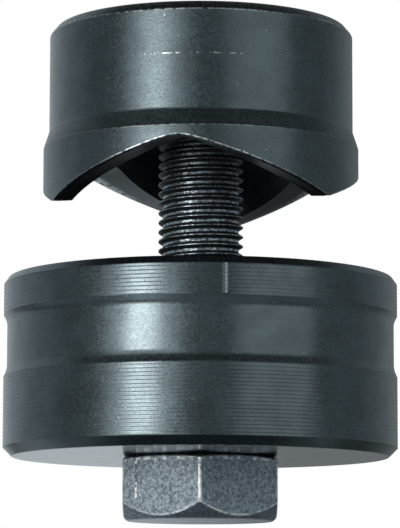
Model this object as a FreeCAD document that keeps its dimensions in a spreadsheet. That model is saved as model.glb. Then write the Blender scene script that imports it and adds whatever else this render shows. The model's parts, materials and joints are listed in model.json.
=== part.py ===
"""Tap hole punch for a 35 mm hole: a three-pointed punch, its cup-shaped die and the draw screw that joins them.

Millimetres, +Z up. The origin is the centre of the screw head's end face, which the whole tool stands on. The head
bears on the underside of the die, the screw passes up through the die, and the punch's crown is threaded on its end.
"""
import FreeCAD, Part
import math
import os
import re

import Sketcher

SIZES = {
    "cut_diameter": 35.0,
    "punch_body_diameter": 33.75,
    "punch_height": 20.25,
    "skirt_height": 6.65,
    "skirt_cone_height": 1.9,
    "crown_chamfer": 0.8,
    "crown_chamfer_height": 0.95,
    "wave_depth": 5.56,
    "wave_rounding": 4.5,
    "ridge_angle": 5.7,
    "hollow_diameter": 30.4,
    "hollow_depth": 12.1,
    "punch_turn": -8.1,
    "die_diameter": 43.4,
    "die_relief_diameter": 42.6,
    "die_height": 19.65,
    "foot_chamfer": 1.0,
    "lip_chamfer": 0.54,
    "lip_chamfer_height": 0.78,
    "foot_band_height": 8.65,
    "foot_cone_height": 0.95,
    "lip_band_height": 4.1,
    "lip_cone_height": 0.75,
    "cut_clearance": 0.06,
    "cut_land_depth": 6.0,
    "slug_relief": 0.35,
    "web_thickness": 6.0,
    "web_corner": 0.8,
    "edge_break": 0.4,
    "mark_width": 0.36,
    "mark_depth": 0.18,
    "mark_turn": 6.9,
    "sheet_gap": 7.8,
    "screw_diameter": 9.45,
    "screw_length": 45.0,
    "screw_tip": 1.0,
    "thread_clearance": 0.05,
    "screw_hole_clearance": 0.4,
    "head_flats": 16.8,
    "head_height": 7.0,
    "head_face_diameter": 16.0,
    "head_corner_height": 1.8,
    "seat_face_diameter": 17.4,
    "seat_corner_height": 0.6,
}
POINTS_ON_RIM = 3
CENTRING_MARKS = 4
HEAD_SIDES = 6
# Steps along each side of an arch, and the degrees by which its cutter runs past the point at the arch's foot
ARCH_STEPS = 8
CUTTER_OVERLAP = 4.0
# How far cutting outlines reach past the metal, and where outlines lie before their constraints move them
MARGIN = 1.0
ROUGH_PLACE = 20.0

doc = FreeCAD.newDocument("tap_hole_punch")


def make_sheet():
    """The driving dimensions, one named cell each."""
    sheet = doc.addObject("Spreadsheet::Sheet", "sizes")
    for row, (name, value) in enumerate(SIZES.items(), start=1):
        sheet.set(f"A{row}", name)
        sheet.set(f"B{row}", str(value))
        sheet.setAlias(f"B{row}", name)
    doc.recompute()
    return sheet


def size(name):
    return float(getattr(sheet, name))


def cell(text):
    """Points each size's name in an expression at its cell."""
    return re.sub(r"[a-z_]+", lambda word: f"sizes.{word[0]}" if word[0] in SIZES else word[0], text)


def make_body(label):
    body = doc.addObject("PartDesign::Body", label)
    body.Label = label
    return body


def origin_feature(body, role):
    return next(f for f in body.Origin.OriginFeatures if f.Role == role)


def make_sketch(body, label, role, offset=None):
    """An empty sketch on one of the body's own planes, moved out along the plane's normal where offset is given."""
    sketch = body.newObject("Sketcher::SketchObject", label)
    sketch.AttachmentSupport = [(origin_feature(body, role), "")]
    sketch.MapMode = "FlatFace"
    if offset:
        sketch.setExpression("AttachmentOffset.Base.z", cell(offset))
    return sketch


def draw_outline(sketch, corners):
    """A closed outline of straight lines. Each corner is (across, up): an expression of sizes, or None on that axis."""
    count = len(corners)
    first = sketch.GeometryCount
    spread = [2 * math.pi * number / count for number in range(count)]
    rough = [FreeCAD.Vector(ROUGH_PLACE + math.cos(a), ROUGH_PLACE + math.sin(a), 0) for a in spread]
    for number in range(count):
        sketch.addGeometry(Part.LineSegment(rough[number], rough[(number + 1) % count]), False)
    for number in range(count):
        following = first + (number + 1) % count
        sketch.addConstraint(Sketcher.Constraint("Coincident", first + number, 2, following, 1))
    for number, place in enumerate(corners):
        for kind, axis, text in (("DistanceX", -2, place[0]), ("DistanceY", -1, place[1])):
            if text is None:
                sketch.addConstraint(Sketcher.Constraint("PointOnObject", first + number, 1, axis))
                continue
            index = sketch.addConstraint(Sketcher.Constraint(kind, -1, 1, first + number, 1, ROUGH_PLACE))
            sketch.setExpression(f"Constraints[{index}]", cell(text))


def turn(body, kind, sketch, label):
    """A full Revolution or Groove of a sketch about the body's Z axis."""
    feature = body.newObject(f"PartDesign::{kind}", label)
    feature.Profile = sketch
    feature.ReferenceAxis = (sketch, ["V_Axis"])
    feature.Angle = 360.0
    return feature


def repeat_round(body, feature, count, label):
    """Copies a feature evenly round the body's Z axis."""
    pattern = body.newObject("PartDesign::PolarPattern", label)
    pattern.Originals = [feature]
    pattern.Axis = (origin_feature(body, "Z_Axis"), [""])
    pattern.Angle = 360.0
    pattern.Occurrences = count
    body.Tip = pattern
    return pattern


def removed(body, before, label):
    """Recomputes and makes sure that the last feature took material away. Gives the volume that is left."""
    doc.recompute()
    left = body.Shape.Volume
    if not left < before:
        raise RuntimeError(f"{label} removed nothing")
    return left


def make_draw_screw():
    """Hexagon head with both faces chamfered and a threaded shank, drawn as a plain cylinder of its crest diameter."""
    body = make_body("draw_screw")
    hexagon = make_sketch(body, "head_hexagon", "XY_Plane")
    corner = size("head_flats") / math.sqrt(3)
    bearing = [-math.pi / 2 + 2 * math.pi * side / HEAD_SIDES for side in range(HEAD_SIDES)]
    corners = [FreeCAD.Vector(corner * math.cos(a), corner * math.sin(a), 0) for a in bearing]
    for side in range(HEAD_SIDES):
        hexagon.addGeometry(Part.LineSegment(corners[side], corners[(side + 1) % HEAD_SIDES]), False)
    hexagon.addGeometry(Part.Circle(FreeCAD.Vector(), FreeCAD.Vector(0, 0, 1), corner), True)
    for side in range(HEAD_SIDES):
        following = (side + 1) % HEAD_SIDES
        hexagon.addConstraint(Sketcher.Constraint("Coincident", side, 2, following, 1))
        hexagon.addConstraint(Sketcher.Constraint("PointOnObject", side, 1, HEAD_SIDES))
    for side in range(1, HEAD_SIDES):
        hexagon.addConstraint(Sketcher.Constraint("Equal", 0, side))
    hexagon.addConstraint(Sketcher.Constraint("Coincident", HEAD_SIDES, 3, -1, 1))
    hexagon.addConstraint(Sketcher.Constraint("PointOnObject", 0, 1, -2))
    index = hexagon.addConstraint(Sketcher.Constraint("Radius", HEAD_SIDES, corner))
    hexagon.setExpression(f"Constraints[{index}]", cell("head_flats / sqrt(3)"))
    head = body.newObject("PartDesign::Pad", "head")
    head.Profile = hexagon
    head.setExpression("Length", cell("head_height"))
    doc.recompute()
    volume = body.Shape.Volume

    chamfers = make_sketch(body, "head_chamfers", "XZ_Plane")
    outside = f"head_flats / sqrt(3) + {MARGIN}"
    end_slope = "head_corner_height / ( head_flats / sqrt(3) - head_face_diameter / 2 )"
    seat_slope = "seat_corner_height / ( head_flats / sqrt(3) - seat_face_diameter / 2 )"
    draw_outline(chamfers, [
        ("head_face_diameter / 2", None),
        (outside, None),
        (outside, f"{end_slope} * ( {outside} - head_face_diameter / 2 )"),
    ])
    draw_outline(chamfers, [
        ("seat_face_diameter / 2", "head_height"),
        (outside, "head_height"),
        (outside, f"head_height - {seat_slope} * ( {outside} - seat_face_diameter / 2 )"),
    ])
    turn(body, "Groove", chamfers, "head_chamfering")
    removed(body, volume, "head_chamfering")

    shank = make_sketch(body, "shank_profile", "XZ_Plane")
    draw_outline(shank, [
        (None, "head_height"),
        ("screw_diameter / 2", "head_height"),
        ("screw_diameter / 2", "head_height + screw_length - screw_tip"),
        ("screw_diameter / 2 - screw_tip", "head_height + screw_length"),
        (None, "head_height + screw_length"),
    ])
    turn(body, "Revolution", shank, "shank")
    return body


def make_die():
    """Cup-shaped die: two outer bands with a relief between them, a cutting bore, a slug chamber and a web."""
    body = make_body("die")
    outer = "die_diameter / 2"
    waist = "die_relief_diameter / 2"
    bore = "cut_diameter / 2 + cut_clearance"
    chamber = "cut_diameter / 2 + cut_clearance + slug_relief"
    hole = "screw_diameter / 2 + screw_hole_clearance"
    profile = make_sketch(body, "die_profile", "XZ_Plane")
    draw_outline(profile, [
        (f"{hole} + edge_break", None),
        (f"{outer} - foot_chamfer", None),
        (outer, "foot_chamfer"),
        (outer, "foot_band_height"),
        (waist, "foot_band_height + foot_cone_height"),
        (waist, "die_height - lip_band_height - lip_cone_height"),
        (outer, "die_height - lip_band_height"),
        (outer, "die_height - lip_chamfer_height"),
        (f"{outer} - lip_chamfer", "die_height"),
        (bore, "die_height"),
        (bore, "die_height - cut_land_depth"),
        (chamber, "die_height - cut_land_depth - slug_relief"),
        (chamber, "web_thickness + web_corner"),
        (f"{chamber} - web_corner", "web_thickness"),
        (f"{hole} + edge_break", "web_thickness"),
        (hole, "web_thickness - edge_break"),
        (hole, "edge_break"),
    ])
    turn(body, "Revolution", profile, "die_turning")
    doc.recompute()
    volume = body.Shape.Volume

    notch = make_sketch(body, "mark_notch", "XY_Plane", "die_height")
    draw_outline(notch, [
        ("mark_width", f"0 - {outer} - mark_depth"),
        (None, f"0 - {outer} + mark_depth"),
        ("0 - mark_width", f"0 - {outer} - mark_depth"),
    ])
    mark = body.newObject("PartDesign::Pocket", "centring_mark")
    mark.Profile = notch
    mark.setExpression("Length", cell("lip_band_height"))
    removed(body, volume, "centring_mark")
    repeat_round(body, mark, CENTRING_MARKS, "centring_marks")
    body.setExpression("Placement.Base.z", cell("head_height"))
    body.setExpression("Placement.Rotation.Angle", cell("mark_turn"))
    return body


def rim_height(angle):
    """Height of the cutting edge above the points, by the angle from an arch's top: even ramps, rounded at the top."""
    half_pitch = 180.0 / POINTS_ON_RIM
    rounding = size("wave_rounding")
    ramp = size("wave_depth") / (math.hypot(half_pitch, rounding) - rounding)
    return size("wave_depth") - ramp * (math.hypot(angle, rounding) - rounding)


def draw_arch(sketch, distance):
    """Outline of an arch cutter where it crosses a plane at a distance from the axis.

    The cutter's face is swept by a radial line that follows the cutting edge and rises towards the axis.
    """
    reach = 180.0 / POINTS_ON_RIM + CUTTER_OVERLAP
    rise = math.tan(math.radians(size("ridge_angle")))
    line = []
    for step in range(-ARCH_STEPS, ARCH_STEPS + 1):
        angle = reach * step / ARCH_STEPS
        radius = distance / math.cos(math.radians(angle))
        height = rim_height(angle) - rise * (radius - size("cut_diameter") / 2)
        line.append(FreeCAD.Vector(distance * math.tan(math.radians(angle)), height, 0))
    floor = line[0].y - MARGIN
    curve = Part.BSplineCurve()
    curve.interpolate(Points=line, Parameters=[step / (len(line) - 1) for step in range(len(line))])
    start, end = line[0], line[-1]
    below_end = FreeCAD.Vector(end.x, floor, 0)
    below_start = FreeCAD.Vector(start.x, floor, 0)
    sketch.addGeometry(curve, False)
    sketch.addGeometry(Part.LineSegment(end, below_end), False)
    sketch.addGeometry(Part.LineSegment(below_end, below_start), False)
    sketch.addGeometry(Part.LineSegment(below_start, start), False)


def make_punch():
    """Cup-shaped punch, with its own zero at the points: a threaded crown over a hollow, and a three-pointed rim."""
    body = make_body("punch")
    cut = "cut_diameter / 2"
    outer = "punch_body_diameter / 2"
    thread = "screw_diameter / 2 + thread_clearance"
    profile = make_sketch(body, "punch_profile", "XZ_Plane")
    draw_outline(profile, [
        (thread, None),
        (cut, None),
        (cut, "skirt_height"),
        (outer, "skirt_height + skirt_cone_height"),
        (outer, "punch_height - crown_chamfer_height"),
        (f"{outer} - crown_chamfer", "punch_height"),
        (f"{thread} + edge_break", "punch_height"),
        (thread, "punch_height - edge_break"),
    ])
    turn(body, "Revolution", profile, "punch_turning")
    doc.recompute()
    volume = body.Shape.Volume

    mouth = size("hollow_diameter") / 2
    depth = size("hollow_depth")
    dome = (mouth ** 2 + depth ** 2) / (2 * depth)
    centre = FreeCAD.Vector(0, depth - dome, 0)
    low_angle = math.asin((dome - depth) / dome)
    hollow = make_sketch(body, "hollow_profile", "XZ_Plane")
    circle = Part.Circle(centre, FreeCAD.Vector(0, 0, 1), dome)
    hollow.addGeometry(Part.ArcOfCircle(circle, low_angle, math.pi / 2), False)
    hollow.addGeometry(Part.LineSegment(FreeCAD.Vector(0, depth, 0), FreeCAD.Vector(0, 0, 0)), False)
    hollow.addGeometry(Part.LineSegment(FreeCAD.Vector(0, 0, 0), FreeCAD.Vector(mouth, 0, 0)), False)
    for first, second in ((0, 1), (1, 2)):
        hollow.addConstraint(Sketcher.Constraint("Coincident", first, 2, second, 1))
    hollow.addConstraint(Sketcher.Constraint("Coincident", 2, 2, 0, 1))
    hollow.addConstraint(Sketcher.Constraint("Coincident", 1, 2, -1, 1))
    hollow.addConstraint(Sketcher.Constraint("PointOnObject", 0, 2, -2))
    hollow.addConstraint(Sketcher.Constraint("PointOnObject", 0, 3, -2))
    hollow.addConstraint(Sketcher.Constraint("PointOnObject", 0, 1, -1))
    index = hollow.addConstraint(Sketcher.Constraint("DistanceX", -1, 1, 0, 1, mouth))
    hollow.setExpression(f"Constraints[{index}]", cell("hollow_diameter / 2"))
    index = hollow.addConstraint(Sketcher.Constraint("DistanceY", -1, 1, 0, 2, depth))
    hollow.setExpression(f"Constraints[{index}]", cell("hollow_depth"))
    turn(body, "Groove", hollow, "hollow")
    volume = removed(body, volume, "hollow")

    inner = make_sketch(body, "arch_at_the_screw", "XZ_Plane", "screw_diameter / 2")
    draw_arch(inner, size("screw_diameter") / 2)
    beyond = make_sketch(body, "arch_outside_the_rim", "XZ_Plane", f"cut_diameter / 2 + {MARGIN}")
    draw_arch(beyond, size("cut_diameter") / 2 + MARGIN)
    arch = body.newObject("PartDesign::SubtractiveLoft", "rim_arch")
    arch.Profile = beyond
    arch.Sections = [inner]
    arch.Ruled = True
    volume = removed(body, volume, "rim_arch")
    repeat_round(body, arch, POINTS_ON_RIM, "rim_arches")
    removed(body, volume, "rim_arches")
    body.setExpression("Placement.Base.z", cell("head_height + die_height + sheet_gap"))
    body.setExpression("Placement.Rotation.Angle", cell("punch_turn"))
    return body


def check(pieces):
    """Stops if any object failed to recompute or any piece isn't one sound solid."""
    for thing in doc.Objects:
        if "Invalid" in thing.State or "Error" in thing.State:
            raise RuntimeError(f"{thing.Label} failed: {thing.State}")
    for piece in pieces:
        shape = piece.Shape
        if shape.isNull() or not shape.isValid() or len(shape.Solids) != 1:
            raise RuntimeError(f"{piece.Label} is not one sound solid")


sheet = make_sheet()
pieces = [make_draw_screw(), make_die(), make_punch()]
doc.recompute()
check(pieces)
os.makedirs("parts", exist_ok=True)
for piece in pieces:
    piece.Shape.exportStep(f"parts/{piece.Label}.step")
    box = piece.Shape.optimalBoundingBox(False, False)
    print(piece.Label, "volume", round(piece.Shape.Volume, 1), "z", round(box.ZMin, 3), round(box.ZMax, 3))
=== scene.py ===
"""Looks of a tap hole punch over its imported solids: draw screw, die and punch, and the studio round them."""
import json
import math
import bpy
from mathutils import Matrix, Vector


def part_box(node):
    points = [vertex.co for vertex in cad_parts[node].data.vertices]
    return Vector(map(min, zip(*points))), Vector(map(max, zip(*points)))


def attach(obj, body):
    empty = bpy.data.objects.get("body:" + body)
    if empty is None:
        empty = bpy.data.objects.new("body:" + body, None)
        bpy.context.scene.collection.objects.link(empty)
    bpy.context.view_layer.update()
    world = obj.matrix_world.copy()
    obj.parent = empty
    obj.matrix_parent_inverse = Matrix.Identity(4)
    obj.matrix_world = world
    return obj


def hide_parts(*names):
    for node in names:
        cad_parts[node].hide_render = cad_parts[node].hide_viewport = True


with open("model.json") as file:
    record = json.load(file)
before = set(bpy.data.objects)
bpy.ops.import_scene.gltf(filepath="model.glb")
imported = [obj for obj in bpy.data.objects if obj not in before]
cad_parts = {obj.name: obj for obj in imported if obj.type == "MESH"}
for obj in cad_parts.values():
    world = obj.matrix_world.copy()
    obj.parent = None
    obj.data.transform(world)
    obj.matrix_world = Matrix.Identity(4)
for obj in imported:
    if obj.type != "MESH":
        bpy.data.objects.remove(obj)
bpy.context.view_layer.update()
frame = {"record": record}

import types

import bmesh
import bpy
from bpy.props import FloatProperty, FloatVectorProperty, IntProperty, PointerProperty
from mathutils import Matrix, Vector

bl_info = {
    "name": "Tap Hole Punch",
    "version": (1, 0, 0),
    "blender": (4, 5, 0),
    "location": "3D View > Sidebar > Hole Punch",
    "description": "Builds a draw-screw hole punch with its die, and the studio that shows it",
    "category": "Object",
}

MM = 1000.0
DIE_LOW, DIE_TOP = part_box("die")
PUNCH_LOW, PUNCH_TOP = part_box("punch")
SCREW_LOW, SCREW_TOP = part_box("draw_screw")

# Steps of a full turn, of a turn of thread, of one flat of the hexagon, and of each rounded corner
TURN_STEPS = 360
THREAD_STEPS = 96
FLAT_STEPS = 16
ROUNDING_STEPS = 4
# Rows of steps over a turning mark, over the punch's cut face and over its dome
MARK_STEPS = 4
CUT_STEPS = 3
DOME_STEPS = 12
# Rounding of the thread's corners, as a share of its crest's width
CREST_ROUNDING = 0.25
# Step between a thread's end and the ring that it is joined to, in millimetres
THREAD_END = 0.05
# Points closer than this are one, in millimetres, and an edge sharper than this stays crisp
TOUCHING = 0.0005
CRISP_ANGLE = math.radians(32)
# Neighbouring faces whose slopes differ by more than this meet in a worn rim of the head
RIM_SLOPE = 0.25
# Bare edges of turned pieces show most on three sides, the first at this bearing near the front, and least
# between them
BARE_EDGE_SIDES = 3.0
BARE_EDGE_BEARING = math.radians(-6)
LEAST_BARE_EDGE = 0.22
# Floor's radius and its gap under the object in metres, and where it begins and ends to fade in millimetres
FLOOR_RADIUS = 1.2
FLOOR_GAP = 0.00003
FLOOR_FADE = (100.0, 600.0)


def size(name, description, millimetres):
    """A length for the sidebar, given in millimetres and kept in metres."""
    return FloatProperty(
        name=name, description=description, default=millimetres / MM, min=0.0, precision=5,
        subtype="DISTANCE", unit="LENGTH",
    )


def angle(name, description, degrees):
    """An angle for the sidebar, given in degrees."""
    return FloatProperty(
        name=name, description=description, default=math.radians(degrees), subtype="ANGLE", unit="ROTATION",
    )


def colour(name, description, value):
    return FloatVectorProperty(
        name=name, description=description, default=value, min=0.0, max=1.0, subtype="COLOR",
    )


def share(name, description, value, high=1.0):
    """A share, or a brightness that may go higher."""
    return FloatProperty(
        name=name, description=description, default=value, min=0.0, max=high, subtype="FACTOR",
    )


class ScrewSizes(bpy.types.PropertyGroup):
    """Sizes of the draw screw."""

    thread_diameter: size("Thread", "Across the crests of the thread", 9.4)
    root_diameter: size("Root", "Across the bottom of the thread", 8.42)
    pitch: size("Pitch", "Rise of the thread in one turn", 25.4 / 24)
    crest_width: size("Crest", "Width of the flat on top of the thread", 0.15)
    root_width: size("Root Flat", "Width of the flat at the bottom of the thread", 0.32)
    thread_start: size("Thread Start", "Height at which the thread begins", 14.0)
    tip_chamfer: size("Tip Chamfer", "Chamfer of the screw's end", 1.0)
    neck_diameter: size("Neck", "Across the plain neck under the thread", 9.0)
    head_flats: size("Across Flats", "Size of the head's hexagon", 16.8)
    head_height: size("Head Height", "Height of the head", DIE_LOW.z * MM)
    end_face: size("End Face", "Across the round face at the head's end", 16.0)
    end_corner: size("End Chamfer", "Height of the end chamfer at a corner", 1.8)
    seat_face: size("Seat Face", "Across the round face under the die", 15.6)
    seat_corner: size("Seat Chamfer", "Height of the seat chamfer at a corner", 0.42)
    edge_wear: size("Edge Wear", "Width of the worn rounding on the head's upright edges", 0.26)
    rim_wear: size("Rim Wear", "Width of the worn rounding on the head's other edges", 0.17)
    # Where the dark upright line runs on the head's front-left flat
    trim_line: size("Upright Line", "From the middle to the dark upright line on one flat", 6.93)
    thread_phase: share("Thread Phase", "Share of a turn by which the thread is turned", 0.435)


class DieSizes(bpy.types.PropertyGroup):
    """Sizes of the die."""

    diameter: size("Diameter", "Across the outer bands", 43.4)
    relief_diameter: size("Relief", "Across the relief between the bands", 42.6)
    height: size("Height", "Height of the die", (DIE_TOP.z - DIE_LOW.z) * MM)
    foot_chamfer: size("Foot Chamfer", "Chamfer of the lower edge", 1.0)
    foot_band: size("Foot Band", "Height of the lower band", 8.65)
    foot_cone: size("Foot Cone", "Height of the slope above the lower band", 0.95)
    lip_chamfer: size("Lip Chamfer", "Width of the upper edge's chamfer", 0.54)
    lip_chamfer_height: size("Lip Chamfer Height", "Height of the upper edge's chamfer", 0.78)
    lip_band: size("Lip Band", "Height of the upper band", 4.1)
    lip_cone: size("Lip Cone", "Height of the slope under the upper band", 0.75)
    bore_diameter: size("Bore", "Across the cutting bore", 35.12)
    land_depth: size("Cutting Land", "Depth of the cutting bore", 6.0)
    slug_relief: size("Slug Relief", "Widening under the cutting land", 0.35)
    web: size("Web", "Thickness of the floor that the head pulls on", 6.0)
    web_corner: size("Web Corner", "Chamfer in the chamber's corner", 0.8)
    hole_diameter: size("Screw Hole", "Across the hole for the screw", 10.25)
    edge_break: size("Edge Break", "Chamfer of the screw hole's edges", 0.4)
    relief_corner: size("Relief Corner", "Rounding of the relief's corners", 0.4)
    feed: size("Turning Feed", "Distance between turning marks on the bands", 0.4128)
    feed_depth: size("Turning Depth", "Depth of the turning marks on the bands", 0.036)
    mark_width: size("Mark Width", "Width of a centring mark", 0.62)
    mark_depth: size("Mark Depth", "Depth of a centring mark", 0.14)
    mark_turn: angle("Mark Turn", "Bearing of the first centring mark", 6.9)
    edge_wear: size("Edge Wear", "Width of the worn rounding on the edges", 0.09)


class PunchSizes(bpy.types.PropertyGroup):
    """Sizes of the punch."""

    cut_diameter: size("Cut", "Across the hole that the punch makes", 35.0)
    body_diameter: size("Body", "Across the body above the cutting skirt", 33.75)
    height: size("Height", "From the points to the crown", 20.25)
    skirt: size("Skirt", "Height of the cutting skirt", 6.65)
    skirt_cone: size("Skirt Cone", "Height of the slope above the skirt", 1.9)
    crown_chamfer: size("Crown Chamfer", "Width of the crown's chamfer", 0.8)
    crown_chamfer_height: size("Crown Chamfer Height", "Height of the crown's chamfer", 0.95)
    wave_depth: size("Wave Depth", "Height of the arches above the points", 5.56)
    wave_rounding: angle("Wave Rounding", "Angle over which an arch's top is rounded", 4.5)
    ridge_angle: angle("Ridge Angle", "Rise of the cut faces towards the middle", 5.7)
    hollow_diameter: size("Hollow", "Across the hollow at the height of the points", 30.4)
    hollow_depth: size("Hollow Depth", "Depth of the hollow's dome", 12.1)
    thread_gap: size("Thread Gap", "Play between the punch's thread and the screw's", 0.07)
    countersink: size("Countersink", "Chamfer at the top of the thread", 0.4)
    wave_turn: angle("Wave Turn", "Bearing of the first arch's top", -8.1)
    edge_wear: size("Edge Wear", "Width of the worn rounding on the edges", 0.13)
    skirt_edge_wear: share("Skirt Edge Wear", "How bare the upper edge of the skirt is worn", 0.35)
    cutting_wear: size("Cutting Wear", "Width of the worn rounding on the cutting edge", 0.1)
    cutting_strip: size("Worn Strip", "Height over which the cutting edge's wear fades out", 0.2)
    scratch_height: size("Scratch Height", "Height of the ring scratch on the body", 48.9)
    scratch_width: size("Scratch Width", "Width of the ring scratch", 0.09)
    scratch_bearing: angle("Scratch Bearing", "Bearing of the scratch's middle", -5.5)
    scratch_reach: angle("Scratch Reach", "Reach of the scratch on both sides of its middle", 22.0)
    points: IntProperty(name="Points", description="Number of points on the rim", default=3, min=1)


class Finishes(bpy.types.PropertyGroup):
    """Colours of the steel."""

    blackened: colour("Blackened", "Blackened steel of the punch", (0.087, 0.115, 0.124))
    polished_black: colour("Polished Black", "Smoother blackened steel of the die", (0.095, 0.124, 0.133))
    # Black of the hollows, darker than outside: partly untouched blackening, partly painted shade
    deep_black: colour("Deep Black", "Untouched blackening inside the die and the punch", (0.05, 0.06, 0.068))
    ground: colour("Ground", "Ground faces of the die, and the punch's milled cut faces", (0.15, 0.176, 0.19))
    thread: colour("Thread", "Steel of the screw's thread", (0.09, 0.105, 0.115))
    head: colour("Head", "Steel of the screw's head", (0.16, 0.2, 0.225))
    worn: colour("Worn", "Bare steel on worn edges", (0.5, 0.54, 0.55))


class StudioSettings(bpy.types.PropertyGroup):
    """Light and camera."""

    key_level: share("Key Light", "Brightness of the narrow lamp on the left", 8.3, 20.0)
    glow_level: share("Key Glow", "Brightness of the screen round the narrow lamp", 1.05, 20.0)
    lamp_colour: colour("Lamp Colour", "Colour of the narrow lamp", (1.0, 0.92, 0.89))
    room_colour: colour("Room Colour", "Colour of the room and backdrop in the metal", (0.87, 0.95, 1.0))
    key_bearing: angle("Key Bearing", "Bearing of the narrow lamp", -34.0)
    key_elevation: angle("Key Elevation", "Height of the narrow lamp's middle", -2.0)
    fill_level: share("Fill Light", "Brightness of the broad lamp on the right", 0.6, 20.0)
    fill_bearing: angle("Fill Bearing", "Bearing of the broad lamp", 44.0)
    rear_level: share("Rear Light", "Brightness of the high lamp behind", 1.2, 20.0)
    room: share("Room", "Brightness of the room in front of the object", 0.29, 2.0)
    left_backdrop: share("Left Backdrop", "Backdrop's left half, as metal shows it", 0.68, 2.0)
    right_backdrop: share("Right Backdrop", "Backdrop's right end, as metal shows it", 0.42, 2.0)
    middle_backdrop: share("Middle Backdrop", "Backdrop right of its middle, as metal shows it", 0.22, 2.0)
    table: share("Table", "Table behind the object, as metal shows it", 0.22, 2.0)
    table_left: share("Table Left", "Brightness of the table's left side close to the object", 0.8, 2.0)
    table_right: share("Table Right", "Brightness of the table's right side close to the object", 0.1, 2.0)
    table_glow: share("Table Glow", "Brightness of the narrow lamp's patch on the table", 1.6, 20.0)
    table_glow_bearing: angle("Table Glow Bearing", "Bearing of the narrow lamp's patch on the table", -40.0)
    focal_length: FloatProperty(
        name="Focal Length", description="Focal length on a 36 mm frame", default=201.8, unit="CAMERA",
    )
    camera_distance: size("Camera Distance", "From the camera to the screw's axis", 325.19)
    camera_height: size("Camera Drop", "How far the camera lies under the object's foot", 13.463)
    camera_side: size("Camera Side", "How far the camera lies to the left of the axis", 0.0725)
    camera_tilt: angle("Camera Tilt", "How far the camera looks up", 7.344)
    camera_roll: angle("Camera Roll", "How far the camera leans", 0.147)


class HolePunchSettings(bpy.types.PropertyGroup):
    """All settings of the hole punch."""

    screw: PointerProperty(type=ScrewSizes)
    die: PointerProperty(type=DieSizes)
    punch: PointerProperty(type=PunchSizes)
    finishes: PointerProperty(type=Finishes)
    studio: PointerProperty(type=StudioSettings)


def in_millimetres(group):
    """A settings group's values by name, with its lengths in millimetres."""
    values = {}
    for setting in group.bl_rna.properties:
        if setting.identifier not in ("rna_type", "name"):
            value = getattr(group, setting.identifier)
            values[setting.identifier] = value * MM if setting.unit == "LENGTH" else value
    return types.SimpleNamespace(**values)


def start_mesh():
    """An empty mesh whose points know their row of the outline and how worn they are."""
    bm = bmesh.new()
    bm.verts.layers.int.new("row")
    bm.verts.layers.float.new("wear")
    return bm


def draw_outline(bm, corners, closed, worn_rows):
    """Chains (radius, height, rounding) corners in the XZ plane, numbers their rows and rounds them."""
    wear = bm.verts.layers.float["wear"]
    row = bm.verts.layers.int["row"]
    verts = []
    for number, (radius, height, _) in enumerate(corners, start=1):
        vert = bm.verts.new((radius, 0.0, height))
        vert[row] = number
        verts.append(vert)
    for vert, following in zip(verts, verts[1:] + verts[:1] if closed else verts[1:]):
        bm.edges.new((vert, following))
    for number, (vert, (_, _, rounding)) in enumerate(zip(verts, corners), start=1):
        if rounding:
            made = bmesh.ops.bevel(
                bm, geom=[vert], offset=rounding, offset_type="OFFSET", segments=ROUNDING_STEPS, profile=0.5,
                affect="VERTICES", material=-1,
            )["verts"]
            if number in worn_rows:
                for inner in made:
                    if all(edge.other_vert(inner) in made for edge in inner.link_edges):
                        inner[wear] = worn_rows[number]


def spin_round(bm, steps):
    """Turns the whole outline once round the Z axis."""
    bmesh.ops.spin(
        bm, geom=bm.verts[:] + bm.edges[:], cent=(0, 0, 0), axis=(0, 0, 1), dvec=(0, 0, 0), angle=2 * math.pi,
        steps=steps, use_merge=True, use_normal_flip=False, use_duplicate=False,
    )
    bmesh.ops.remove_doubles(bm, verts=bm.verts[:], dist=TOUCHING)


def turn_by(bm, bearing):
    """Turns the mesh so that its X axis points along a bearing, counted from the front towards the right."""
    matrix = Matrix.Rotation(bearing - math.pi / 2, 3, "Z")
    bmesh.ops.rotate(bm, verts=bm.verts[:], cent=(0, 0, 0), matrix=matrix)


def place(vert, radius, height):
    """Moves a point along its own radius to a radius and height."""
    across = math.hypot(vert.co.x, vert.co.y)
    vert.co = Vector((vert.co.x * radius / across, vert.co.y * radius / across, height))


def round_edges(bm, edges, width, segments=3, whole=False):
    """Rounds edges, and marks the rounding or only its middle as worn."""
    made = bmesh.ops.bevel(
        bm, geom=edges, offset=width, offset_type="OFFSET", segments=segments, profile=0.5, affect="EDGES",
        clamp_overlap=False, material=-1,
    )
    wear = bm.verts.layers.float["wear"]
    rounded = set(made["faces"])
    for vert in made["verts"]:
        if whole or all(face in rounded for face in vert.link_faces):
            vert[wear] = 1.0


def grown(bm, others):
    """The points, edges and faces that have been added to a mesh since it had only the others."""
    verts = [vert for vert in bm.verts if vert not in others]
    edges = {edge for vert in verts for edge in vert.link_edges}
    return verts + list(edges) + list({face for vert in verts for face in vert.link_faces})


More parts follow.
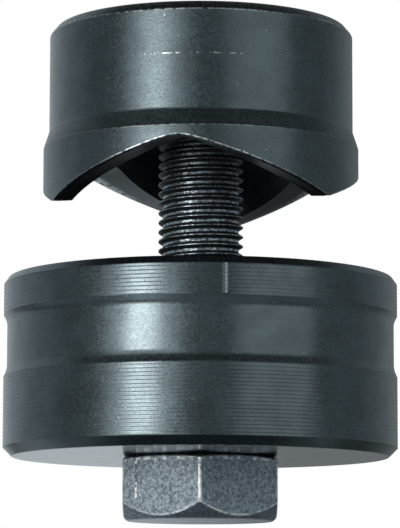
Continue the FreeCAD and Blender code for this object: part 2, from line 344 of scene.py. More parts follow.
def thread_wall(bm, screw, low, high, gap=0.0):
    """Adds the helical wall of the screw's thread, or of a nut's with a gap, cut square at two heights."""
    crest = screw.thread_diameter / 2 + gap
    root = screw.root_diameter / 2 + gap
    flank = (screw.pitch - screw.crest_width - screw.root_width) / 2
    heights = [0.0, screw.crest_width / 2, screw.crest_width / 2 + flank]
    heights += [screw.pitch - height for height in reversed(heights)]
    radii = [crest, crest, root, root, crest, crest]
    bottom = (math.floor(low / screw.pitch) - 2 + screw.thread_phase) * screw.pitch
    others = set(bm.verts)
    verts = [bm.verts.new((radius, 0.0, bottom + height)) for radius, height in zip(radii, heights)]
    for vert, following in zip(verts, verts[1:]):
        bm.edges.new((vert, following))
    bmesh.ops.bevel(
        bm, geom=verts[1:5], offset=screw.crest_width * CREST_ROUNDING, offset_type="OFFSET", segments=2,
        profile=0.5, affect="VERTICES", material=-1,
    )
    wear = bm.verts.layers.float["wear"]
    # Crest and root flats are marked for the bright streaks, which are partly bare steel and partly painted
    # highlight
    for vert in grown(bm, others):
        if isinstance(vert, bmesh.types.BMVert):
            vert[wear] = float(min(abs(vert.co.x - crest), abs(vert.co.x - root)) < TOUCHING)
    bmesh.ops.spin(
        bm, geom=grown(bm, others), cent=(0, 0, 0), axis=(0, 0, 1), dvec=(0, 0, screw.pitch / THREAD_STEPS),
        angle=2 * math.pi, steps=THREAD_STEPS, use_merge=False, use_normal_flip=False, use_duplicate=False,
    )
    length = screw.pitch
    while bottom + length < high + screw.pitch:
        copied = bmesh.ops.duplicate(bm, geom=grown(bm, others))["geom"]
        copied = [part for part in copied if isinstance(part, bmesh.types.BMVert)]
        bmesh.ops.translate(bm, vec=(0, 0, length), verts=copied)
        length *= 2
    bmesh.ops.remove_doubles(bm, verts=[vert for vert in bm.verts if vert not in others], dist=TOUCHING)
    for height, outwards in ((low, -1), (high, 1)):
        bmesh.ops.bisect_plane(
            bm, geom=grown(bm, others), dist=1e-6, plane_co=(0, 0, height), plane_no=(0, 0, outwards),
            clear_outer=True,
        )
    return [vert for vert in bm.verts if vert not in others]


def open_edges(bm, height, reach=0.001):
    """The open edges that lie at a height."""
    return [
        edge for edge in bm.edges
        if edge.is_boundary and all(abs(vert.co.z - height) < reach for vert in edge.verts)
    ]


def finish_piece(bm, name, materials, node):
    """Checks a mesh that is in millimetres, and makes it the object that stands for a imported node."""
    bmesh.ops.remove_doubles(bm, verts=bm.verts[:], dist=TOUCHING)
    bmesh.ops.recalc_face_normals(bm, faces=bm.faces[:])
    faults = sum(not edge.is_manifold for edge in bm.edges)
    if faults:
        raise RuntimeError(f"{name} has {faults} edges that are open or join more than two faces")
    for face in bm.faces:
        face.smooth = True
    for edge in bm.edges:
        edge.smooth = edge.calc_face_angle() < CRISP_ANGLE
    bmesh.ops.scale(bm, vec=Vector((1, 1, 1)) / MM, verts=bm.verts[:])
    mesh = bpy.data.meshes.new(name)
    bm.to_mesh(mesh)
    bm.free()
    for material in materials:
        mesh.materials.append(material)
    piece = bpy.data.objects.new(name, mesh)
    bpy.context.scene.collection.objects.link(piece)
    even = piece.modifiers.new("even_shading", "WEIGHTED_NORMAL")
    even.keep_sharp = True
    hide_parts(node)
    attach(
        piece, next(body for body, nodes in frame["record"]["behaviour"]["bodies"].items() if node in nodes),
    )
    return piece


class SteelNodes:
    """Adds nodes to a new material and links them as it goes."""

    def __init__(self, name):
        self.material = bpy.data.materials.new(name)
        self.material.use_nodes = True
        self.tree = self.material.node_tree
        self.tree.nodes.clear()
        place = self.add("TexCoord").outputs["Object"]
        self.point = self.add("VectorMath", {0: place, 1: (MM, MM, MM)}, operation="MULTIPLY").outputs[0]

    def add(self, kind, values=None, **settings):
        """A node with its settings, and its inputs set or linked by name or number."""
        node = self.tree.nodes.new("ShaderNode" + kind)
        for setting, value in settings.items():
            setattr(node, setting, value)
        for socket, value in (values or {}).items():
            if isinstance(value, bpy.types.NodeSocket):
                self.tree.links.new(value, node.inputs[socket])
            else:
                node.inputs[socket].default_value = value
        return node

    def noise(self, vector, scale, detail=2.0, roughness=0.5):
        values = {"Vector": vector, "Scale": scale, "Detail": detail, "Roughness": roughness}
        return self.add("TexNoise", values).outputs[0]

    def stretch(self, value, low, high, to_low=0.0, to_high=1.0):
        """Maps low and high of a value smoothly onto two others, and holds it there beyond them."""
        values = {0: value, 1: low, 2: high, 3: to_low, 4: to_high}
        return self.add("MapRange", values, interpolation_type="SMOOTHSTEP").outputs[0]

    def sum(self, operation, first, second):
        return self.add("Math", {0: first, 1: second}, operation=operation).outputs[0]

    def absolute(self, value):
        return self.add("Math", {0: value}, operation="ABSOLUTE").outputs[0]

    def blend(self, factor, first, second):
        return self.add("Mix", {0: factor, 6: first, 7: second}, data_type="RGBA").outputs[2]

    def lathe_point(self, along, around):
        """A point whose pattern runs in rings: fine across the tool's path, long round the axis."""
        flat = self.add("VectorMath", {0: self.point, 1: (1, 1, 0)}, operation="MULTIPLY").outputs[0]
        radius = self.add("VectorMath", {0: flat}, operation="LENGTH").outputs["Value"]
        parts = self.add("SeparateXYZ", {0: self.point}).outputs
        across = self.sum("MULTIPLY", self.sum("ADD", radius, parts[2]), along)
        side, front = (self.sum("MULTIPLY", parts[axis], around) for axis in (0, 1))
        return self.add("CombineXYZ", {0: side, 1: front, 2: across}).outputs[0]

    def dots(self, density, inner, outer, spared):
        """Round dots of a density to the millimetre, in the share of the cells that isn't spared."""
        cells = self.add("TexVoronoi", {"Vector": self.point, "Scale": density}, feature="F1").outputs
        chosen = self.add("SeparateColor", {0: cells["Color"]}).outputs[0]
        chosen = self.sum("GREATER_THAN", chosen, spared)
        return self.sum("MULTIPLY", self.stretch(cells["Distance"], inner, outer, 1.0, 0.0), chosen)

    def bearing(self):
        """The point's bearing, counted from the front towards the right."""
        side, depth, _ = self.add("SeparateXYZ", {0: self.point}).outputs
        return self.sum("ARCTAN2", side, self.sum("MULTIPLY", depth, -1.0))

    def worn_sides(self):
        """One on three sides of a turned piece, and little between them."""
        turned = self.sum("MULTIPLY", self.sum("SUBTRACT", self.bearing(), BARE_EDGE_BEARING), BARE_EDGE_SIDES)
        wave = self.add("Math", {0: turned}, operation="COSINE").outputs[0]
        return self.stretch(wave, -0.3, 0.6, LEAST_BARE_EDGE, 1.0)

    def scratch(self, height, width, bearing, reach):
        """A dotted ring scratch at a height, within a reach on both sides of a bearing."""
        up = self.add("SeparateXYZ", {0: self.point}).outputs[2]
        from_line = self.absolute(self.sum("SUBTRACT", up, height))
        on_line = self.stretch(from_line, width * 0.4, width, 1.0, 0.0)
        beside = self.absolute(self.sum("SUBTRACT", self.bearing(), bearing))
        within = self.stretch(beside, reach * 0.9, reach, 1.0, 0.0)
        broken = self.noise(self.point, scale=0.9, detail=3.0, roughness=0.7)
        dotted = self.stretch(broken, 0.48, 0.58, 0.0, 0.7)
        return self.sum("MULTIPLY", self.sum("MULTIPLY", on_line, within), dotted)

    def steel(self, colour, roughness, height, depth, bare=1.0):
        """The metal itself, with a bump as deep as stated in millimetres, and dirt where it isn't bare."""
        bump = self.add("Bump", {"Strength": 1.0, "Distance": depth / MM, "Height": height}).outputs[0]
        values = {"Base Color": colour, "Metallic": bare, "Roughness": roughness, "Normal": bump}
        shader = self.add("BsdfPrincipled", values).outputs[0]
        self.add("OutputMaterial", {"Surface": shader})
        return self.material


def rgba(value, factor=1.0):
    """A setting's colour as a shader takes it, made lighter or darker by a factor."""
    return (value[0] * factor, value[1] * factor, value[2] * factor, 1.0)


def turned_steel(name, tone, worn, roughness, cloudiness, lines, pits, specks, depth, scratch=None):
    """Blackened steel off the lathe: cloudy, finely grained, with pits, bright specks and bare worn edges."""
    nodes = SteelNodes(name)
    cloud = nodes.noise(nodes.point, scale=0.3, detail=5.0, roughness=0.65)
    grain = nodes.noise(nodes.lathe_point(along=4.8, around=3.0), scale=1.0, detail=4.0, roughness=0.75)
    ring = nodes.noise(nodes.lathe_point(along=7.0, around=0.1), scale=1.0, detail=3.0, roughness=0.6)
    pit = nodes.dots(density=2.6, inner=0.1, outer=0.2, spared=1.0 - pits)
    speck = nodes.dots(density=1.3, inner=0.06, outer=0.11, spared=1.0 - specks)
    shade = nodes.stretch(cloud, 0.32, 0.68, 0.5 - cloudiness, 0.5 + cloudiness)
    shade = nodes.sum("ADD", shade, nodes.stretch(grain, 0.3, 0.7, -0.12, 0.12))
    shade = nodes.sum("ADD", shade, nodes.stretch(ring, 0.3, 0.7, -lines, lines))
    base = nodes.blend(shade, rgba(tone, 0.55), rgba(tone, 1.45))
    base = nodes.blend(nodes.sum("MULTIPLY", pit, 0.12), base, rgba(tone, 0.25))
    wear = nodes.add("Attribute", attribute_name="wear").outputs["Fac"]
    patchy = nodes.stretch(nodes.noise(nodes.point, scale=1.6, detail=3.0, roughness=0.7), 0.4, 0.54)
    wear = nodes.sum("MULTIPLY", nodes.sum("MULTIPLY", wear, patchy), nodes.worn_sides())
    wear = nodes.sum("MAXIMUM", wear, nodes.sum("MULTIPLY", speck, 0.4))
    if scratch:
        wear = nodes.sum("MAXIMUM", wear, nodes.scratch(*scratch))
    base = nodes.blend(wear, base, rgba(worn, 1.5))
    gloss = nodes.stretch(grain, 0.34, 0.66, roughness - 0.07, roughness + 0.07)
    gloss = nodes.sum("ADD", gloss, nodes.sum("MULTIPLY", pit, 0.12))
    height = nodes.sum("ADD", nodes.sum("MULTIPLY", ring, lines), nodes.sum("MULTIPLY", grain, 0.6))
    height = nodes.sum("SUBTRACT", height, nodes.sum("MULTIPLY", pit, 0.5))
    return nodes.steel(base, gloss, height, depth)


def ground_steel(name, tone, roughness, depth):
    """A face ground flat: nearly a mirror, with fine straight marks."""
    nodes = SteelNodes(name)
    along_marks = {"Vector": nodes.point, "Rotation": (0, 0, 0.5), "Scale": (0.25, 9.0, 1.0)}
    marks = nodes.add("Mapping", along_marks).outputs[0]
    mark = nodes.noise(marks, scale=1.0, detail=4.0, roughness=0.65)
    cloud = nodes.noise(nodes.point, scale=0.4, detail=3.0, roughness=0.6)
    shade = nodes.stretch(mark, 0.3, 0.7, 0.2, 0.8)
    shade = nodes.sum("ADD", shade, nodes.stretch(cloud, 0.3, 0.7, -0.2, 0.2))
    base = nodes.blend(shade, rgba(tone, 0.7), rgba(tone, 1.3))
    return nodes.steel(base, nodes.stretch(mark, 0.3, 0.7, roughness - 0.05, roughness + 0.05), mark, depth)


def mottled_steel(name, tone, worn, trim_line):
    """Scaly steel of a forged head: a close mottle, bare worn edges, a chipped upper rim, and a dark upright
    line on the front-left flat with bare steel along it in places.
    """
    nodes = SteelNodes(name)
    cloud = nodes.noise(nodes.point, scale=0.5, detail=3.0, roughness=0.6)
    mottle = nodes.noise(nodes.point, scale=2.7, detail=5.0, roughness=0.8)
    fleck = nodes.add("TexVoronoi", {"Vector": nodes.point, "Scale": 4.2}, feature="F1").outputs["Distance"]
    shade = nodes.stretch(mottle, 0.38, 0.62, 0.1, 0.9)
    shade = nodes.sum("ADD", shade, nodes.stretch(fleck, 0.1, 0.5, 0.2, -0.15))
    shade = nodes.sum("ADD", shade, nodes.stretch(cloud, 0.3, 0.7, -0.1, 0.1))
    base = nodes.blend(shade, rgba(tone, 0.8), rgba(tone, 2.1))
    wear = nodes.add("Attribute", attribute_name="wear").outputs["Fac"]
    side, depth, up = nodes.add("SeparateXYZ", {0: nodes.point}).outputs
    # A dark upright line on the front-left flat, above the end chamfer
    from_line = nodes.absolute(nodes.sum("ADD", side, trim_line))
    line = nodes.stretch(from_line, 0.07, 0.15, 1.0, 0.0)
    line = nodes.sum("MULTIPLY", line, nodes.sum("LESS_THAN", depth, 0.0))
    line = nodes.sum("MULTIPLY", line, nodes.stretch(up, 1.9, 2.1))
    base = nodes.blend(nodes.sum("MULTIPLY", line, 0.6), base, rgba(tone, 0.3))
    flaky = nodes.noise(nodes.point, scale=1.7, detail=3.0, roughness=0.65)
    wear = nodes.sum("MULTIPLY", wear, nodes.stretch(flaky, 0.4, 0.52, 0.15, 1.0))
    chipped = nodes.sum("MULTIPLY", nodes.stretch(up, 6.2, 6.45), nodes.stretch(flaky, 0.53, 0.59, 0.0, 0.8))
    wear = nodes.sum("MAXIMUM", wear, chipped)
    wear = nodes.sum("MAXIMUM", wear, nodes.sum("MULTIPLY", line, nodes.stretch(flaky, 0.54, 0.6)))
    speck = nodes.dots(density=1.9, inner=0.1, outer=0.2, spared=0.75)
    wear = nodes.sum("MAXIMUM", wear, nodes.sum("MULTIPLY", speck, 0.45))
    base = nodes.blend(wear, base, rgba(worn, 1.5))
    gloss = nodes.stretch(mottle, 0.34, 0.66, 0.52, 0.34)
    return nodes.steel(base, gloss, nodes.sum("ADD", mottle, nodes.sum("MULTIPLY", fleck, 0.3)), 0.05)


def thread_steel(name, tone, worn):
    """Steel of a rolled thread: dark flanks, darkened by oil and by painted shade in the grooves, and broken
    bright streaks along its crests and roots, which are bare steel and painted highlight.
    """
    nodes = SteelNodes(name)
    streak = nodes.noise(nodes.lathe_point(along=5.0, around=2.6), scale=1.0, detail=3.0, roughness=0.7)
    dent = nodes.noise(nodes.point, scale=1.3, detail=4.0, roughness=0.7)
    flat = nodes.add("Attribute", attribute_name="wear").outputs["Fac"]
    bare = nodes.sum("MULTIPLY", flat, nodes.stretch(streak, 0.42, 0.56, 0.12, 1.0))
    bare = nodes.sum("MULTIPLY", bare, nodes.stretch(dent, 0.36, 0.5, 0.25, 1.0))
    # Flanks darkened to a quarter of the tone, partly oil and partly painted shade in the grooves; crest and
    # root flats lightened, partly bare steel and partly painted highlight
    base = nodes.blend(bare, rgba(tone, 0.26), rgba(worn, 2.7))
    gloss = nodes.stretch(bare, 0.0, 0.8, 0.5, 0.4)
    height = nodes.sum("ADD", nodes.sum("MULTIPLY", streak, 0.4), dent)
    return nodes.steel(base, gloss, height, 0.06, nodes.stretch(bare, 0.0, 0.5, 0.6, 1.0))


def turning_marks(radius, low, high, feed, depth):
    """Corners of a band's wall from low to high, scalloped by the tool's feed."""
    count = max(1, round((high - low) / feed))
    corners = []
    for number in range(count):
        for step in range(MARK_STEPS):
            part = step / MARK_STEPS
            hollow = depth * 4 * part * (1 - part)
            corners.append((radius - hollow, low + (number + part) * (high - low) / count, 0.0))
    return corners + [(radius, high, 0.0)]


class HOLEPUNCH_OT_draw_screw(bpy.types.Operator):
    """Builds the draw screw: a hexagon head with both faces chamfered, and a shank with a real thread"""

    bl_idname = "hole_punch.draw_screw"
    bl_label = "Draw Screw"

    def execute(self, context):
        settings = context.scene.hole_punch
        screw = in_millimetres(settings.screw)
        finishes = settings.finishes
        corner = screw.head_flats / math.sqrt(3)
        neck = screw.neck_diameter / 2
        tip = SCREW_TOP.z * MM
        end_corner_row, seat_corner_row, seat_face_row = 3, 4, 5
        bm = start_mesh()
        row = bm.verts.layers.int["row"]
        draw_outline(bm, [
            (0.0, 0.0, 0.0),
            (screw.end_face / 2, 0.0, 0.0),
            (corner, screw.end_corner, 0.0),
            (corner, screw.head_height - screw.seat_corner, 0.0),
            (screw.seat_face / 2, screw.head_height, 0.0),
            (neck, screw.head_height, 0.0),
            (neck, screw.thread_start - screw.pitch / 2, 0.0),
        ], closed=False, worn_rows={})
        spin_round(bm, 6 * FLAT_STEPS)
        for vert in bm.verts:
            beside = math.atan2(vert.co.y, vert.co.x) % math.radians(60)
            outside = screw.head_flats / 2 / math.cos(beside - math.radians(30))
            if vert[row] == end_corner_row:
                reach = (outside - screw.end_face / 2) / (corner - screw.end_face / 2)
                place(vert, outside, screw.end_corner * reach)
            elif vert[row] == seat_corner_row:
                reach = max(0.0, (outside - screw.seat_face / 2) / (corner - screw.seat_face / 2))
                place(vert, outside, screw.head_height - screw.seat_corner * reach)
            elif vert[row] == seat_face_row:
                place(vert, min(outside, screw.seat_face / 2), screw.head_height)
        bmesh.ops.remove_doubles(bm, verts=bm.verts[:], dist=TOUCHING)
        upright = [
            edge for edge in bm.edges
            if {vert[row] for vert in edge.verts} == {end_corner_row, seat_corner_row}
            and math.hypot(*edge.verts[0].co.xy) > corner - TOUCHING
        ]
        round_edges(bm, upright, screw.edge_wear, segments=4)
        bm.normal_update()
        rims = []
        for edge in bm.edges:
            first, second = (abs(face.normal.z) for face in edge.link_faces) if edge.is_manifold else (0, 0)
            across = min(math.hypot(*vert.co.xy) for vert in edge.verts)
            if across > neck + 1 and abs(first - second) > RIM_SLOPE:
                rims.append(edge)
        round_edges(bm, rims, screw.rim_wear)
        wall = thread_wall(bm, screw, screw.thread_start, tip)
        chamfered = tip - screw.tip_chamfer
        for vert in wall:
            across = math.hypot(vert.co.x, vert.co.y)
            limit = screw.thread_diameter / 2 - max(0.0, vert.co.z - chamfered)
            if across > limit:
                place(vert, limit, vert.co.z)
        bmesh.ops.edgeloop_fill(bm, edges=open_edges(bm, tip))
        ends = open_edges(bm, screw.thread_start - screw.pitch / 2) + open_edges(bm, screw.thread_start)
        bmesh.ops.bridge_loops(bm, edges=ends)
        for face in bm.faces:
            middle = face.calc_center_median()
            if middle.z > screw.head_height or math.hypot(middle.x, middle.y) < neck and middle.z > 1:
                face.material_index = 1
            elif middle.z < TOUCHING:
                face.material_index = 2
        turn_by(bm, 0.0)
        materials = [
            mottled_steel("mottled_head_steel", finishes.head, finishes.worn, screw.trim_line),
            thread_steel("threaded_steel", finishes.thread, finishes.head),
            ground_steel("faced_head_end", rgba(finishes.head, 2.1), roughness=0.24, depth=0.004),
        ]
        finish_piece(bm, "threaded_draw_screw", materials, "draw_screw")
        return {"FINISHED"}


class HOLEPUNCH_OT_die(bpy.types.Operator):
    """Builds the die: two bands with turning marks, a relief, centring marks, a cutting bore and a web"""

    bl_idname = "hole_punch.die"
    bl_label = "Die"

    def execute(self, context):
        settings = context.scene.hole_punch
        die = in_millimetres(settings.die)
        finishes = settings.finishes
        low = DIE_LOW.z * MM
        top = low + die.height
        outer = die.diameter / 2
        relief = die.relief_diameter / 2
        bore = die.bore_diameter / 2
        chamber = bore + die.slug_relief
        hole = die.hole_diameter / 2
        foot_top = low + die.foot_band
        lip_low = top - die.lip_band
        lip_top = top - die.lip_chamfer_height
        bm = start_mesh()
        corners = [
            (hole + die.edge_break, low, 0.0),
            (outer - die.foot_chamfer, low, die.edge_wear),
        ]
        corners += turning_marks(outer, low + die.foot_chamfer, foot_top, die.feed, die.feed_depth)
        corners += [
            (relief, foot_top + die.foot_cone, die.relief_corner),
            (relief, lip_low - die.lip_cone, die.relief_corner),
        ]
        corners += turning_marks(outer, lip_low, lip_top, die.feed, die.feed_depth)
        corners += [
            (outer - die.lip_chamfer, top, die.edge_wear),
            (bore, top, 0.0),
            (bore, top - die.land_depth, 0.0),
            (chamber, top - die.land_depth - die.slug_relief, 0.0),
            (chamber, low + die.web + die.web_corner, 0.0),
            (chamber - die.web_corner, low + die.web, 0.0),
            (hole + die.edge_break, low + die.web, 0.0),
            (hole, low + die.web - die.edge_break, 0.0),
            (hole, low + die.edge_break, 0.0),
        ]
        draw_outline(bm, corners, closed=True, worn_rows={2: 1.0})
        spin_round(bm, TURN_STEPS)
        for normal in ((0, 1, 0), (1, 0, 0)):
            for side in (-1, 1):
                bmesh.ops.bisect_plane(
                    bm, geom=bm.verts[:] + bm.edges[:] + bm.faces[:], dist=1e-5,
                    plane_co=Vector(normal) * side * die.mark_width / 2, plane_no=normal,
                )
        for vert in bm.verts:
            across = math.hypot(vert.co.x, vert.co.y)
            on_mark = min(abs(vert.co.x), abs(vert.co.y)) < TOUCHING
            if on_mark and across > outer - die.mark_depth and vert.co.z > lip_low + TOUCHING:
                place(vert, outer - die.mark_depth, vert.co.z)
        for face in bm.faces:
            middle = face.calc_center_median()
            across = math.hypot(middle.x, middle.y)
            slope = abs(face.normal.z)
            if slope > 0.95 and across > bore * 0.3 and (middle.z < low + 0.1 or middle.z > top - 0.1):
                face.material_index = 1
            # The chamber takes the darker black, which is blackening and painted shade
            elif across < chamber + 0.01 and middle.z < top - TOUCHING:
                face.material_index = 2
        turn_by(bm, die.mark_turn)
        materials = [
            turned_steel(
                "turned_black_die", finishes.polished_black, finishes.worn, roughness=0.25, cloudiness=0.14,
                lines=0.05, pits=0.16, specks=0.1, depth=0.01,
            ),
            ground_steel("ground_die_face", finishes.ground, roughness=0.15, depth=0.0008),
            # Blackening and painted shade: the darker black for the inside of the die
            turned_steel(
                "hollow_black_and_shade_die", finishes.deep_black, finishes.worn, roughness=0.4, cloudiness=0.2,
                lines=0.1, pits=0.3, specks=0.05, depth=0.006,
            ),
        ]
        finish_piece(bm, "turned_die", materials, "die")
        return {"FINISHED"}


class HOLEPUNCH_OT_punch(bpy.types.Operator):
    """Builds the punch: a threaded crown over a domed hollow, and a rim with three points"""

    bl_idname = "hole_punch.punch"
    bl_label = "Punch"

    def execute(self, context):
        settings = context.scene.hole_punch
        punch = in_millimetres(settings.punch)
        screw = in_millimetres(settings.screw)
        finishes = settings.finishes
        top = PUNCH_TOP.z * MM
        points = top - punch.height
        cut = punch.cut_diameter / 2
        body = punch.body_diameter / 2
        mouth = punch.hollow_diameter / 2
        dome = (mouth ** 2 + punch.hollow_depth ** 2) / (2 * punch.hollow_depth)
        centre = points + punch.hollow_depth - dome
        thread = screw.thread_diameter / 2 + punch.thread_gap
        bm = start_mesh()
        row = bm.verts.layers.int["row"]
        corners = [
            (thread + THREAD_END, top - punch.countersink, 0.0),
            (thread + punch.countersink, top, 0.0),
            (body - punch.crown_chamfer, top, punch.edge_wear),
            (body, top - punch.crown_chamfer_height, punch.edge_wear),
            (body, points + punch.skirt + punch.skirt_cone, punch.edge_wear),
            (cut, points + punch.skirt, punch.edge_wear / 2),
            (cut, points + punch.cutting_wear, 0.0),
        ]
        rim = len(corners) + 1
        corners += [(cut - (cut - mouth) * step / CUT_STEPS, points, 0.0) for step in range(CUT_STEPS + 1)]
        hollow = len(corners)
        end = math.asin((thread + 3 * THREAD_END) / dome)
        # These only set the order of the rows, because the loop below puts their points on the dome
        corners += [
            (mouth * (1 - step / DOME_STEPS) + 1, points + step, 0.0) for step in range(1, DOME_STEPS + 1)
        ]
        draw_outline(bm, corners, closed=False, worn_rows={4: 1.0, 6: punch.skirt_edge_wear})
        spin_round(bm, TURN_STEPS)
        half = math.pi / punch.points
        ramp = punch.wave_depth / (math.hypot(half, punch.wave_rounding) - punch.wave_rounding)
        rise = math.tan(punch.ridge_angle)
        for vert in bm.verts:
            if vert[row] < rim - 1:
                continue
            beside = (math.atan2(vert.co.y, vert.co.x) + half) % (2 * half) - half
            edge = punch.wave_depth - ramp * (math.hypot(beside, punch.wave_rounding) - punch.wave_rounding)
            outer_height = points + edge
            if vert[row] == rim - 1:
                place(vert, cut, outer_height + punch.cutting_strip)
                continue
            lift = outer_height + rise * cut - centre
            inner = (lift * rise + math.sqrt(dome ** 2 * (1 + rise ** 2) - lift ** 2)) / (1 + rise ** 2)
            if vert[row] <= hollow:
                radius = cut + (inner - cut) * (vert[row] - rim) / CUT_STEPS
                place(vert, radius, outer_height + rise * (cut - radius))
            else:
                start = math.asin(inner / dome)
                lean = start + (end - start) * (vert[row] - hollow) / DOME_STEPS
                place(vert, dome * math.sin(lean), centre + dome * math.cos(lean))
        worn = [edge for edge in bm.edges if all(vert[row] == rim for vert in edge.verts)]
        round_edges(bm, worn, punch.cutting_wear, whole=True)
        inside = centre + dome * math.cos(end)
        crown_low, crown_high = inside + 2 * THREAD_END, top - punch.countersink - THREAD_END
        thread_wall(bm, screw, crown_low, crown_high, punch.thread_gap)
        bmesh.ops.bridge_loops(bm, edges=open_edges(bm, inside) + open_edges(bm, crown_low))
        bmesh.ops.bridge_loops(bm, edges=open_edges(bm, crown_high) + open_edges(bm, top - punch.countersink))
        turn_by(bm, punch.wave_turn)
        for face in bm.faces:
            rows = {vert[row] for vert in face.verts}
            # The countersink, the crown chamfer and the skirt cone take the darker copy of the steel, which is
            # painted shade
            if rows in ({1, 2}, {3, 4}, {5, 6}):
                face.material_index = 1
            # The thread and the dome take the darker black, which is blackening and painted shade
            elif 0 in rows or max(rows) > hollow:
                face.material_index = 2
            # The cut faces take the ground colour at half its brightness, as painted shade
            elif min(rows) >= rim and max(rows) > rim:
                face.material_index = 4
            elif min(rows) >= rim - 2:
                face.material_index = 3
        scratch = (punch.scratch_height, punch.scratch_width, punch.scratch_bearing, punch.scratch_reach)
        materials = [
            turned_steel(
                "turned_black_punch", finishes.blackened, finishes.worn, roughness=0.26, cloudiness=0.12,
                lines=0.03, pits=0.5, specks=0.12, depth=0.02, scratch=scratch,
            ),
            # Painted shade: a darker copy of the blackened steel for the countersink, the crown chamfer and
            # the skirt cone
            turned_steel(
                "chamfer_shade_punch", rgba(finishes.blackened, 0.78), finishes.worn, roughness=0.32,
                cloudiness=0.1, lines=0.12, pits=0.3, specks=0.0, depth=0.01,
            ),
            # Blackening and painted shade: the darker black for the punch's hollow and thread
            turned_steel(
                "hollow_black_and_shade_punch", finishes.deep_black, finishes.worn, roughness=0.45, cloudiness=0.3,
                lines=0.1, pits=0.3, specks=0.0, depth=0.01,
            ),
            turned_steel(
                "cutting_skirt", finishes.blackened, finishes.worn, roughness=0.32, cloudiness=0.1,
                lines=0.04, pits=0.3, specks=0.12, depth=0.012,
            ),
            # Painted shade: the punch's cut faces take the ground colour at half its brightness
            turned_steel(
                "milled_cut_shade", rgba(finishes.ground, 0.5), finishes.worn, roughness=0.34, cloudiness=0.1,
                lines=0.05, pits=0.2, specks=0.0, depth=0.004,
            ),
        ]
        finish_piece(bm, "turned_punch", materials, "punch")
        return {"FINISHED"}


def direction(bearing, elevation):
    """The unit vector of a bearing, counted from the front towards the right, and an elevation."""
    level = math.cos(elevation)
    return Vector((math.sin(bearing) * level, -math.cos(bearing) * level, math.sin(elevation)))


def add_lamp(name, bearing, elevation, distance, width, height, level):
    """A rectangular lamp of an even brightness that faces the object's middle."""
    lamp = bpy.data.lights.new(name, "AREA")
    lamp.shape = "RECTANGLE"
    lamp.size, lamp.size_y = width, height
    lamp.energy = level * math.pi * width * height
    holder = bpy.data.objects.new(name, lamp)
    bpy.context.scene.collection.objects.link(holder)
    towards = direction(bearing, elevation)
    holder.location = Vector((0, 0, SCREW_TOP.z / 2)) + towards * distance
    holder.rotation_euler = towards.to_track_quat("Z", "Y").to_euler()
    holder.visible_camera = False
    return holder


class WorldNodes(SteelNodes):
    """Adds nodes to the world in the same way."""

    def __init__(self, world):
        world.use_nodes = True
        self.tree = world.node_tree
        self.tree.nodes.clear()


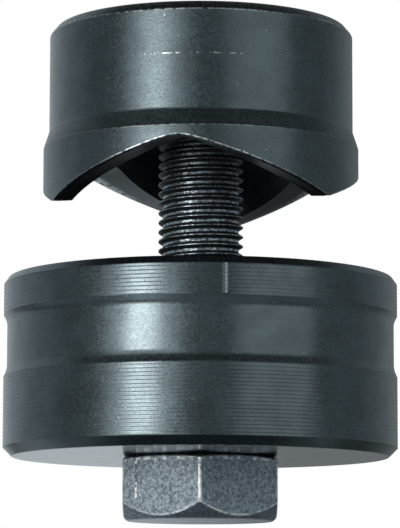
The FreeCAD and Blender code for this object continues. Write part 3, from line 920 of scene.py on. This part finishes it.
class HOLEPUNCH_OT_studio(bpy.types.Operator):
    """Sets up the pale floor, the backdrop, the soft lamps and the camera"""

    bl_idname = "hole_punch.studio"
    bl_label = "Studio"

    def execute(self, context):
        studio = context.scene.hole_punch.studio
        self.light_backdrop(studio)
        self.lay_floor()
        key = add_lamp(
            "key_lamp", studio.key_bearing, studio.key_elevation, distance=0.6, width=0.17, height=0.3,
            level=studio.key_level,
        )
        key.data.color = studio.lamp_colour
        add_lamp(
            "key_glow", studio.key_bearing, math.radians(12), distance=0.62, width=0.5, height=0.5,
            level=studio.glow_level,
        )
        add_lamp(
            "fill_lamp", studio.fill_bearing, math.radians(12), distance=0.8, width=0.68, height=0.6,
            level=studio.fill_level,
        )
        add_lamp(
            "rear_lamp", math.pi, math.radians(55), distance=0.7, width=0.4, height=0.4,
            level=studio.rear_level,
        )
        self.place_camera(studio)
        context.scene.view_settings.view_transform = "Standard"
        return {"FINISHED"}

    def light_backdrop(self, studio):
        """A dim room in front, and a backdrop behind that is white to the camera and shows in the metal."""
        world = bpy.data.worlds.new("studio_room")
        bpy.context.scene.world = world
        nodes = WorldNodes(world)
        towards = nodes.add("TexCoord").outputs["Generated"]
        side, depth, up = nodes.add("SeparateXYZ", {0: towards}).outputs
        bearing = nodes.sum("ARCTAN2", side, nodes.sum("MULTIPLY", depth, -1.0))
        path = nodes.add("LightPath").outputs
        in_metal = nodes.sum("MAXIMUM", path["Is Glossy Ray"], path["Is Transmission Ray"])
        seen = nodes.sum("MULTIPLY", in_metal, self.behind(nodes, bearing, side, up))
        room = nodes.sum("ADD", self.room(nodes, up, studio), self.table_glow(nodes, bearing, up, studio))
        lit = nodes.add("Mix", {0: seen, 2: room, 3: self.backdrop(nodes, side, up, studio)}).outputs[0]
        strength = nodes.sum("MAXIMUM", lit, path["Is Camera Ray"])
        tint = nodes.blend(path["Is Camera Ray"], rgba(studio.room_colour), (1, 1, 1, 1))
        shader = nodes.add("Background", {"Color": tint, "Strength": strength}).outputs[0]
        nodes.add("OutputWorld", {"Surface": shader})

    def behind(self, nodes, bearing, side, up):
        """One towards the backdrop and zero towards the room, with a soft border a little to the left."""
        turned = nodes.sum("SUBTRACT", nodes.absolute(bearing), nodes.sum("MULTIPLY", side, math.radians(8)))
        behind = nodes.stretch(turned, math.radians(86), math.radians(136))
        return nodes.sum("MULTIPLY", behind, nodes.stretch(nodes.absolute(up), 0.62, 0.85, 1.0, 0.0))

    def room(self, nodes, up, studio):
        """The room by height: dark above, paler over the table, dark again right under the object."""
        dark_above, pale_table, dark_underneath = 0.13, 1.35, 0.14
        room = nodes.stretch(up, 0.35, 0.97, studio.room, studio.room * dark_above)
        room = nodes.sum("MULTIPLY", room, nodes.stretch(up, -0.35, -0.65, 1.0, pale_table))
        return nodes.sum("MULTIPLY", room, nodes.stretch(up, -0.74, -0.92, 1.0, dark_underneath))

    def table_glow(self, nodes, bearing, up, studio):
        """The narrow lamp's patch on the table in front of the object."""
        beside = nodes.absolute(nodes.sum("SUBTRACT", bearing, studio.table_glow_bearing))
        beside = nodes.stretch(beside, math.radians(3), math.radians(20), studio.table_glow, 0.0)
        lower = nodes.absolute(nodes.sum("ADD", up, 0.7))
        return nodes.sum("MULTIPLY", beside, nodes.stretch(lower, 0.03, 0.16, 1.0, 0.0))

    def backdrop(self, nodes, side, up, studio):
        """The backdrop from left to right, and under it the table, which is dark close to the object."""
        dark_close = 0.25
        right = nodes.stretch(side, 0.05, 0.75, studio.middle_backdrop, studio.right_backdrop)
        halves = {0: nodes.stretch(side, -0.03, 0.03), 2: studio.left_backdrop, 3: right}
        backdrop = nodes.add("Mix", halves).outputs[0]
        close = nodes.stretch(side, -0.15, 0.15, studio.table_left, studio.table_right)
        table = nodes.add("Mix", {0: nodes.stretch(up, -0.28, -0.6), 2: studio.table, 3: close}).outputs[0]
        backdrop = nodes.add("Mix", {0: nodes.stretch(up, -0.1, -0.26), 2: backdrop, 3: table}).outputs[0]
        return nodes.sum("MULTIPLY", backdrop, nodes.stretch(up, -0.5, -0.75, 1.0, dark_close))

    def lay_floor(self):
        """A round pale floor under the object, seen from above only, which fades out and keeps the shadow."""
        bm = bmesh.new()
        bmesh.ops.create_circle(bm, cap_ends=True, segments=96, radius=FLOOR_RADIUS)
        mesh = bpy.data.meshes.new("floor")
        bm.to_mesh(mesh)
        bm.free()
        mesh.transform(Matrix.Translation((0, 0, SCREW_LOW.z - FLOOR_GAP)))
        floor = bpy.data.objects.new("floor", mesh)
        bpy.context.scene.collection.objects.link(floor)
        nodes = SteelNodes("pale_floor")
        path = nodes.add("LightPath").outputs
        back = nodes.add("NewGeometry").outputs["Backfacing"]
        distance = nodes.add("VectorMath", {0: nodes.point}, operation="LENGTH").outputs["Value"]
        near = nodes.stretch(distance, *FLOOR_FADE, 1.0, 0.0)
        shown = nodes.sum("MULTIPLY", nodes.sum("SUBTRACT", path["Is Camera Ray"], back), near)
        pale = nodes.add("BsdfDiffuse", {"Color": (0.85, 0.85, 0.85, 1)}).outputs[0]
        white = nodes.add("Emission", {"Color": (1, 1, 1, 1), "Strength": 1.0}).outputs[0]
        surface = nodes.add("MixShader", {0: 0.55, 1: pale, 2: white}).outputs[0]
        clear = nodes.add("BsdfTransparent").outputs[0]
        mixed = nodes.add("MixShader", {0: shown, 1: clear, 2: surface}).outputs[0]
        nodes.add("OutputMaterial", {"Surface": mixed})
        mesh.materials.append(nodes.material)

    def place_camera(self, studio):
        """A long lens a little under the object's foot, looking up at it."""
        lens = bpy.data.cameras.new("camera")
        lens.lens = studio.focal_length
        lens.sensor_width = 36.0
        lens.clip_start, lens.clip_end = 0.01, 10.0
        camera = bpy.data.objects.new("camera", lens)
        bpy.context.scene.collection.objects.link(camera)
        place = Matrix.Translation((-studio.camera_side, -studio.camera_distance, -studio.camera_height))
        tilt = Matrix.Rotation(math.pi / 2 + studio.camera_tilt, 4, "X")
        camera.matrix_world = place @ tilt @ Matrix.Rotation(studio.camera_roll, 4, "Z")
        bpy.context.scene.camera = camera


class HOLEPUNCH_PT_settings(bpy.types.Panel):
    """Lists the settings and the pieces"""

    bl_idname = "HOLEPUNCH_PT_settings"
    bl_label = "Hole Punch"
    bl_space_type = "VIEW_3D"
    bl_region_type = "UI"
    bl_category = "Hole Punch"

    def draw(self, context):
        settings = context.scene.hole_punch
        for name in ("screw", "die", "punch", "finishes", "studio"):
            box = self.layout.box()
            box.label(text=name.title())
            group = getattr(settings, name)
            for setting in group.bl_rna.properties:
                if setting.identifier not in ("rna_type", "name"):
                    box.prop(group, setting.identifier)
        for operator in OPERATORS:
            self.layout.operator(operator.bl_idname)


GROUPS = (ScrewSizes, DieSizes, PunchSizes, Finishes, StudioSettings, HolePunchSettings)
OPERATORS = (HOLEPUNCH_OT_draw_screw, HOLEPUNCH_OT_die, HOLEPUNCH_OT_punch, HOLEPUNCH_OT_studio)
CLASSES = GROUPS + OPERATORS + (HOLEPUNCH_PT_settings,)


def register():
    for cls in CLASSES:
        bpy.utils.register_class(cls)
    bpy.types.Scene.hole_punch = PointerProperty(type=HolePunchSettings)


def unregister():
    del bpy.types.Scene.hole_punch
    for cls in reversed(CLASSES):
        bpy.utils.unregister_class(cls)


def main():
    register()
    bpy.ops.hole_punch.draw_screw()
    bpy.ops.hole_punch.die()
    bpy.ops.hole_punch.punch()
    bpy.ops.hole_punch.studio()


if __name__ == "__main__":
    main()
